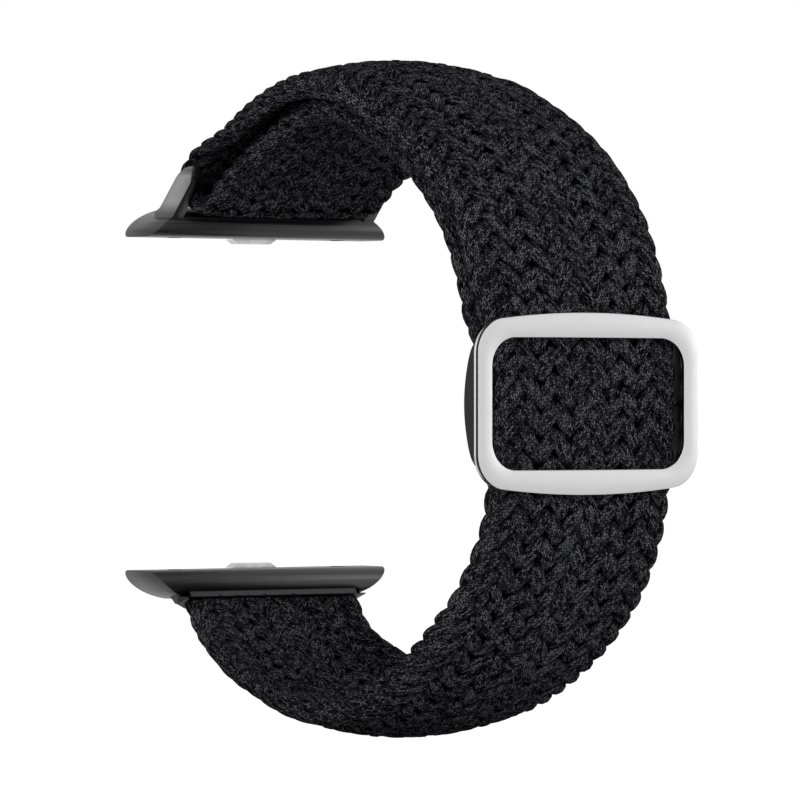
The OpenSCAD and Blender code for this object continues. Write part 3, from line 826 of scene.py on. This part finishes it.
    # bend the flat braid: across stays along X, thickness turns with the path
    px, py, pz = n.split(n.add("GeometryNodeInputPosition").outputs[0])
    values = {}
    for name in ("wide", "arch", "shift", "swell"):
        sample = sample_path(n, path, name, py)
        values[name] = out(sample, "Value")
    tangent = n.split(out(sample, "Tangent"))
    edge = step_up(n, n.over(n.size(px), half), 0.74, 1.0)
    swell = n.times(edge, gi["Edge Swell"], values["swell"])
    inward = n.times(swell, gi["Cord Thickness"], 0.5)
    px = n.times(px, values["wide"])
    side = n.over(px, n.times(gi["Full Width"], 0.5))
    drop = n.plus(n.times(values["arch"], n.times(side, side)), inward)
    lift = n.times(pz, n.plus(swell, 1.0))
    lift = n.minus(lift, n.times(drop, gi["Outward"]))
    normal = n.xyz(0.0, n.times(tangent[2], -1.0), tangent[1])
    across = n.xyz(n.plus(px, values["shift"]), 0.0, 0.0)
    offset = n.vector("ADD", n.vector("SCALE", normal, lift), across)
    place = n.vector("ADD", out(sample, "Position"), offset)
    bent = n.add("GeometryNodeSetPosition", Geometry=both.outputs[0], Position=place).outputs[0]
    bent = n.add("GeometryNodeSetShadeSmooth", Geometry=bent).outputs[0]
    bent = n.add("GeometryNodeRealizeInstances", Geometry=bent).outputs[0]
    tree.links.new(bent, go.inputs[0])
    return tree


def path_object(name, points, turns, shapes):
    """Polyline that stores the braid's turns and shapes on its points."""
    mid = middle_height()
    mesh = bpy.data.meshes.new(name)
    edges = [(i, i + 1) for i in range(len(points) - 1)]
    mesh.from_pydata([(0.0, p.x, p.y + mid) for p, _ in points], edges, [])
    columns = {"turns": turns}
    for k, attribute in enumerate(("wide", "arch", "shift", "swell")):
        columns[attribute] = [values[k] for values in shapes]
    for attribute, values in columns.items():
        mesh.attributes.new(attribute, "FLOAT", "POINT").data.foreach_set("value", values)
    return add_object(name, mesh)


def flat_width(braid):
    """Width of the braid before it is fitted to the path."""
    return braid.strands * braid.column * EDGE_REACH + braid.cord_width + 2 * braid.poke


def bake(obj):
    """Gives a piece the mesh that its modifiers make."""
    bpy.context.view_layer.update()
    graph = bpy.context.evaluated_depsgraph_get()
    mesh = bpy.data.meshes.new_from_object(obj.evaluated_get(graph))
    obj.modifiers.clear()
    old = obj.data
    obj.data = mesh
    bpy.data.meshes.remove(old)
    mesh.name = obj.name
    return obj


def make_braid(name, points, start, shapes, outward):
    """One stretch of the braid; outward is -1 where the path runs back to the slider."""
    braid = bpy.context.scene.strap_braid
    tree = bpy.data.node_groups.get("flat_braid") or braid_tree()
    full = flat_width(braid)
    fitted = [(width / full, *rest) for width, *rest in shapes]
    obj = path_object(name, points, turns_of(braid, points), fitted)
    modifier = obj.modifiers.new("braid", "NODES")
    modifier.node_group = tree
    values = {
        "Strands": braid.strands, "Sides": 10, "Column": braid.column, "Pitch": braid.pitch,
        "Rise": braid.rise, "Cord Width": braid.cord_width, "Cord Thickness": braid.cord_height,
        "Edge Swell": braid.edge_swell, "Rings": braid.rings, "Start": start,
        "Core Width": full - 2.4 * MM, "Full Width": braid.slider_w, "Outward": outward,
        "Poke": braid.poke, "Stripe": braid.stripe,
        "Cord": bpy.data.materials.get("knitted_cord") or cord_material(braid.colour),
        "Core": bpy.data.materials.get("braid_core") or core_material(),
    }
    for item in tree.interface.items_tree:
        if item.item_type == "SOCKET" and item.in_out == "INPUT" and item.name in values:
            modifier[item.identifier] = values[item.name]
    return bake(obj)


# Metal pieces


def bowed_loop(w, h, r, bow, n):
    """Outline of a rounded rectangle whose long sides bow outwards, in [x, z]."""
    cx = w / 2 - r
    swing = (cx * cx + bow * bow) / (2 * bow)
    cz = h / 2 - r - bow
    axis = h / 2 - r - swing
    split = math.atan2(cx, cz - axis)
    q = []
    for i in range(n):
        a = split * i / n
        q.append(((swing + r) * math.sin(a), axis + (swing + r) * math.cos(a)))
    for i in range(n + 1):
        a = split + (math.pi / 2 - split) * i / n
        q.append((cx + r * math.sin(a), cz + r * math.cos(a)))
    back = q[:0:-1]
    return q + [(x, -z) for x, z in back] + [(-x, -z) for x, z in q] + [(-x, z) for x, z in back]


def write_mesh(bm, mesh):
    bm.to_mesh(mesh)
    bm.free()
    return mesh


def lofted_ring(name, loops):
    """Closed ring through loops of points: [(depth, outline), ...]."""
    n = len(loops[0][1])
    verts = [(x, y, z) for y, outline in loops for x, z in outline]
    faces = []
    for i in range(len(loops)):
        a, b = i * n, ((i + 1) % len(loops)) * n
        for k in range(n):
            j = (k + 1) % n
            faces.append((a + k, a + j, b + j, b + k))
    mesh = bpy.data.meshes.new(name)
    mesh.from_pydata(verts, [], faces)
    bm = bmesh.new()
    bm.from_mesh(mesh)
    bmesh.ops.recalc_face_normals(bm, faces=bm.faces)
    write_mesh(bm, mesh)
    return add_object(name, mesh)


def side_plate(name, side):
    """Bowed ear and bracket behind the frame's stile, with the foot between them."""
    mid = middle_height()
    inner, outer, foot, bracket = 13.6, 14.0, 14.75, 14.95
    lip, back = -62.9, -61.8
    n = 28
    bm = bmesh.new()
    for x0, x1, half, level, bow in (
        (inner, outer, 7.1, -60.6 + 0.4 * side, 1.1 - 0.4 * side),
        (outer, bracket, 6.1, -62.65, 1.1),
    ):
        outline = [(lip - 0.03, -half), (lip - 0.03, half)]
        for i in range(n + 1):
            z = half * (1 - 2 * i / n)
            depth = level + bow * max(0.0, math.cos(math.pi * z / (2 * half))) - lip
            corner = math.sqrt(max(0.0, 1 - abs(z / half) ** (26 + 16 * side)))
            outline.append((lip + depth * corner, z))
        ring = []
        for x in (x0, x1):
            ring.append([bm.verts.new((side * x * MM, y * MM, z * MM + mid)) for y, z in outline])
        bm.faces.new(ring[0])
        bm.faces.new(ring[1])
        for i in range(len(outline)):
            j = (i + 1) % len(outline)
            bm.faces.new((ring[0][i], ring[0][j], ring[1][j], ring[1][i]))
    place = Vector((side * (inner + foot) / 2 * MM, (lip + back + 0.5) / 2 * MM, mid))
    size = ((foot - inner) * MM, (back + 0.5 - lip) * MM, 3.9 * MM)
    cube = bmesh.ops.create_cube(bm, size=1.0)
    for vertex in cube["verts"]:
        vertex.co = Vector([c * s for c, s in zip(vertex.co, size)]) + place
    bmesh.ops.recalc_face_normals(bm, faces=bm.faces)
    obj = add_object(name, write_mesh(bm, bpy.data.meshes.new(name)))
    smooth(obj, 40)
    return obj


def smooth(obj, degrees):
    obj.data.shade_smooth()
    obj.data.set_sharp_from_angle(angle=math.radians(degrees))


def trim_socket(mesh):
    """Shortens the end walls of the lower socket."""
    mouth = -1.6 * MM
    for vertex in mesh.vertices:
        x, y, z = vertex.co
        if abs(x) > 12.4 * MM and z < mouth and y < -1.2 * MM:
            vertex.co.z = mouth + (z - mouth) * 0.45


def rounded_copy(node, name, width, shape=None):
    """Merged copy of a CAD node with rounded edges."""
    mesh = frame["nodes"][node].data.copy()
    mesh.name = name
    bm = bmesh.new()
    bm.from_mesh(mesh)
    bmesh.ops.remove_doubles(bm, verts=bm.verts, dist=2e-6)
    bmesh.ops.dissolve_limit(bm, angle_limit=math.radians(0.6), verts=bm.verts, edges=bm.edges)
    write_mesh(bm, mesh)
    if shape:
        shape(mesh)
    mesh.shade_smooth()
    mesh.materials.clear()
    obj = add_object(name, mesh)
    bevel = obj.modifiers.new("edges", "BEVEL")
    bevel.width = width
    bevel.segments = 2
    bevel.limit_method = "ANGLE"
    bevel.angle_limit = math.radians(30)
    bevel.harden_normals = True
    return bake(obj)


def dress(obj, material, body, slot, *nodes):
    """Gives a piece its material and body, and hides the CAD nodes that it replaces. The slot is not used."""
    obj.data.materials.clear()
    obj.data.materials.append(material)
    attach(obj, body)
    if nodes:
        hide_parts(*nodes)
    return obj


def paint_nodes(material, *nodes):
    """Gives CAD nodes a material."""
    for node in nodes:
        obj = frame["nodes"][node]
        if obj.material_slots:
            for slot in obj.material_slots:
                slot.material = material
        else:
            obj.data.materials.append(material)


# Operators


class STRAP_OT_braid(bpy.types.Operator):
    """Makes the braid: the outer run with the fold, and the return run"""

    bl_idname = "strap.braid"
    bl_label = "Braid"

    def execute(self, context):
        scene = context.scene
        loop, braid = scene.strap_loop, scene.strap_braid
        at = loop_layout(loop)
        out_points = run_path(loop, at)
        shapes = run_shapes(braid, at, out_points)
        run = make_braid("braid_outer_run", out_points, 0.0, shapes, 1.0)
        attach(run, "band")
        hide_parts("band_run", "band_fold")
        back_points = return_path(loop, at)
        start = turns_of(braid, out_points)[-1]
        shapes = return_shapes(braid, loop, back_points)
        back = make_braid("braid_return_run", back_points, start, shapes, -1.0)
        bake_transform(back)
        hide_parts("band_return")
        return {"FINISHED"}


class STRAP_OT_slider(bpy.types.Operator):
    """Makes the slider frame with its ears"""

    bl_idname = "strap.slider"
    bl_label = "Slider"

    def execute(self, context):
        metal = context.scene.strap_metal
        front, back = -63.4, -62.6
        window_back = -62.95
        # width, height, corner radius and bow of the frame and of its window
        frame_size = (30.1, 19.7, 3.8, 0.65)
        window_size = (26.1, 14.25, 3.1, 0.02)
        # depth, growth of the outline, and 0 on the outside or 1 in the window
        profile = [
            (back, -0.12, 0), (back - 0.04, -0.03, 0), (back - 0.12, 0.0, 0),
            (front + 0.14, 0.0, 0), (front + 0.08, -0.01, 0),
            (front + 0.03, -0.05, 0), (front, -0.13, 0),
            (front, 0.12, 1), (front + 0.02, 0.07, 1), (front + 0.06, 0.03, 1),
            (front + 0.1, 0.01, 1), (front + 0.14, 0.0, 1),
            (window_back - 0.08, 0.0, 1), (window_back - 0.02, 0.03, 1), (window_back, 0.1, 1),
        ]
        mid = middle_height()
        loops = []
        for y, grow, side in profile:
            w, h, r, bow = window_size if side else frame_size
            outline = bowed_loop(w + 2 * grow, h + 2 * grow, r + grow, bow, 22)
            loops.append((y * MM, [(x * MM, z * MM + mid) for x, z in outline]))
        obj = lofted_ring("slider_frame_ring", loops)
        smooth(obj, 28)
        face = frame_material(metal.frame_colour)
        # painted shade: the ears behind the stiles are near black, to show as the shadow in the gap beside the
        # window
        ear_shade_black = (0.012, 0.012, 0.012)
        shaded_ear_metal = satin_metal("frame_ears", ear_shade_black, 0.35, 0.06, (500.0, 500.0, 60.0))
        dress(obj, face, "slider", "silver_satin_frame", "slider_frame")
        for side, name in ((-1, "slider_ear_left"), (1, "slider_ear_right")):
            ear = side_plate(name, side)
            dress(ear, shaded_ear_metal, "slider", "silver_satin_frame")
        return {"FINISHED"}


class STRAP_OT_lugs(bpy.types.Operator):
    """Makes the two lugs"""

    bl_idname = "strap.lugs"
    bl_label = "Lugs"

    def execute(self, context):
        metal = context.scene.strap_metal
        # painted shade colour for the upper lug's bar, inner faces and rail end
        dark = (0.045, 0.045, 0.046)
        upper = lug_material("upper_lug_satin", metal.upper_colour, dark, 0.38, 14.4 * MM)
        lower = socket_metal("lower_lug_satin", metal.lower_colour)
        obj = rounded_copy("upper_lug", "upper_lug_loop", metal.edge)
        dress(obj, upper, "upper_lug", "grey_satin_lug", "upper_lug")
        obj = rounded_copy("lower_lug", "lower_lug_rail", metal.edge, trim_socket)
        dress(obj, lower, "band", "dark_satin_lug", "lower_lug")
        paint_nodes(upper, "upper_latch_cover")
        paint_nodes(lower, "lower_latch_cover")
        return {"FINISHED"}


class STRAP_OT_small_parts(bpy.types.Operator):
    """Finishes the latches, springs, screws, pads, pins and fused ends"""

    bl_idname = "strap.small_parts"
    bl_label = "Small parts"

    def execute(self, context):
        steel = context.scene.strap_metal.steel_colour
        latch = satin_metal("latch_steel", steel, 0.2, 0.05, (90.0, 1200.0, 1200.0), 0.1)
        paint_nodes(latch, "lower_latch", "upper_latch")
        screw = satin_metal("turned_steel", steel, 0.14, 0.04, (2400.0, 2400.0, 90.0), 0.2)
        paint_nodes(screw, "lower_cover_screws", "upper_cover_screws")
        pin = satin_metal("drawn_pin", steel, 0.12, 0.03, (80.0, 2000.0, 2000.0), 0.1)
        paint_nodes(pin, "ferrule_pins")
        straw = (0.36, 0.34, 0.3)
        spring = satin_metal("spring_sheet", straw, 0.28, 0.1, (120.0, 700.0, 700.0), 0.2)
        paint_nodes(spring, "lower_latch_spring", "upper_latch_spring")
        paint_nodes(clip_metal("clip_sheet", darker(steel, 0.6)), "lower_braid_clip")
        ferrule = satin_metal("ferrule_sheet", (0.04, 0.04, 0.042), 0.32, 0.08)
        paint_nodes(ferrule, "end_ferrule")
        black, soot = (0.006, 0.006, 0.006), (0.014, 0.014, 0.014)
        pad = rough_plastic("pad_rubber", black, soot, 5200.0, 0.65, 0.5)
        paint_nodes(pad, "lower_end_pads", "upper_end_pads")
        black, soot = (0.004, 0.004, 0.004), (0.02, 0.02, 0.021)
        fused = rough_plastic("fused_cords", black, soot, 1100.0, 0.45, 0.9)
        paint_nodes(fused, "lower_fused_end", "return_fused_end")
        return {"FINISHED"}


class STRAP_OT_stage(bpy.types.Operator):
    """Sets the camera, the floor and the studio light"""

    bl_idname = "strap.stage"
    bl_label = "Stage"

    def execute(self, context):
        scene = context.scene
        stage = scene.strap_stage
        scene.view_settings.view_transform = "Standard"
        mid = middle_height()

        camera = bpy.data.cameras.new("photo_camera")
        camera.lens = stage.lens
        camera.sensor_width = 36.0
        camera.clip_start = 0.05
        eye = add_object("photo_camera", camera)
        back = Vector((-math.sin(stage.turn), -math.cos(stage.turn), 0.0))
        aim = Vector((13.56 * MM, -9.88 * MM, mid + 0.41 * MM))
        eye.location = aim + back * stage.distance
        eye.rotation_euler = (math.radians(90), 0.0, -stage.turn)
        scene.camera = eye

        world = bpy.data.worlds.new("studio")
        world.use_nodes = True
        scene.world = world
        world.node_tree.nodes.clear()
        n = Nodes(world.node_tree)
        full = (1.0, 1.0, 1.0, 1.0)
        plain = n.add("ShaderNodeBackground", Color=full, Strength=0.35 * stage.light)
        white = n.add("ShaderNodeBackground", Color=full)
        mixed = n.mix_shaders(seen_directly(n), plain, white)
        n.put(n.add("ShaderNodeOutputWorld"), 0, mixed)

        low = CAD_BOX[0][2] - 1.0 * MM
        bm = bmesh.new()
        bmesh.ops.create_grid(bm, x_segments=1, y_segments=1, size=3.0)
        for vertex in bm.verts:
            vertex.co.z = low
        floor = add_object("floor", write_mesh(bm, bpy.data.meshes.new("floor")))
        material, n, shader = new_material("pale_floor")
        n.fill(shader, Base_Color=(0.9, 0.9, 0.9, 1.0), Roughness=0.9)
        glow = n.add("ShaderNodeEmission", Strength=1.16)
        mixed = n.mix_shaders(n.times(seen_directly(n), 0.85), shader, glow)
        n.put(shader.outputs[0].links[0].to_node, 0, mixed)
        floor.data.materials.append(material)

        centre = Vector((0.0, -0.03, mid))
        for name, place, size, power in (
            ("key_light", (-0.35, -0.85, 0.32), 0.6, 4.4),
            ("fill_light", (0.8, -0.5, 0.16), 0.3, 1.8),
            ("top_light", (0.0, -0.1, 0.8), 0.8, 1.2),
            ("edge_light", (-0.8, -0.45, 0.12), 0.35, 0.9),
            ("side_light", (-0.55, 0.75, 0.2), 0.6, 0.9),
        ):
            lamp = bpy.data.lights.new(name, "AREA")
            lamp.size = size
            lamp.energy = power * stage.light
            obj = add_object(name, lamp)
            obj.location = place
            obj.rotation_euler = (centre - Vector(place)).to_track_quat("-Z", "Y").to_euler()
        return {"FINISHED"}


class STRAP_PT_panel(bpy.types.Panel):
    """Lists the strap's settings and steps"""

    bl_idname = "STRAP_PT_panel"
    bl_label = "Braided strap"
    bl_space_type = "VIEW_3D"
    bl_region_type = "UI"
    bl_category = "Strap"

    def draw(self, context):
        for group in (getattr(context.scene, name) for name in SETTINGS):
            box = self.layout.box()
            for name in group.__annotations__:
                box.prop(group, name)
        for operator in STEPS:
            self.layout.operator(operator.bl_idname)


SETTINGS = {
    "strap_braid": BraidSettings, "strap_loop": LoopSettings,
    "strap_metal": MetalSettings, "strap_stage": StageSettings,
}
STEPS = (STRAP_OT_stage, STRAP_OT_braid, STRAP_OT_slider, STRAP_OT_lugs, STRAP_OT_small_parts)


def register():
    for name, group in SETTINGS.items():
        bpy.utils.register_class(group)
        setattr(bpy.types.Scene, name, bpy.props.PointerProperty(type=group))
    for cls in (*STEPS, STRAP_PT_panel):
        bpy.utils.register_class(cls)


def unregister():
    for cls in (STRAP_PT_panel, *reversed(STEPS)):
        bpy.utils.unregister_class(cls)
    for name, group in SETTINGS.items():
        delattr(bpy.types.Scene, name)
        bpy.utils.unregister_class(group)


def main():
    register()
    bpy.ops.strap.stage()
    bpy.ops.strap.braid()
    bpy.ops.strap.slider()
    bpy.ops.strap.lugs()
    bpy.ops.strap.small_parts()


if __name__ == "__main__":
    main()
